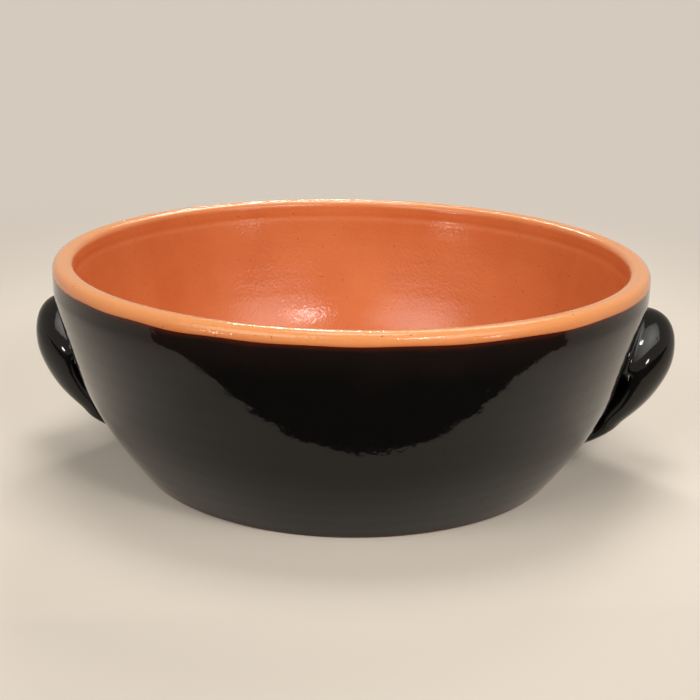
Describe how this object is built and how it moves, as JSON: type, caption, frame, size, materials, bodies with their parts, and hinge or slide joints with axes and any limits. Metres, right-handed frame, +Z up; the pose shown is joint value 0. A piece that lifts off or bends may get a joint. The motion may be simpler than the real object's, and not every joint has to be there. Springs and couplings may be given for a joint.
{
  "type": "terracotta casserole",
  "caption": "Round, low earthenware casserole: black glaze outside, clear-glazed terracotta inside and over the rim, with pulled strap handles at the sides, for oven or hob cooking.",
  "frame": {"origin": "the middle of the flat underside", "axes": "+Z up the axis of the bowl, +X through the right handle, the handles lie along X"},
  "size_m": [0.3114, 0.28, 0.102],
  "materials": {
    "bare_clay": "matte fired terracotta",
    "clear_glaze": "clear gloss glaze over terracotta",
    "black_glaze": "black gloss glaze"
  },
  "bodies": {
    "root": {"bowl_body": "bare_clay", "clear_glaze_lining": "clear_glaze", "black_glaze_coat": "black_glaze", "handle_right": "black_glaze", "luting_right_upper": "black_glaze", "luting_right_lower": "black_glaze", "handle_left": "black_glaze", "luting_left_upper": "black_glaze", "luting_left_lower": "black_glaze"}
  },
  "joints": []
}
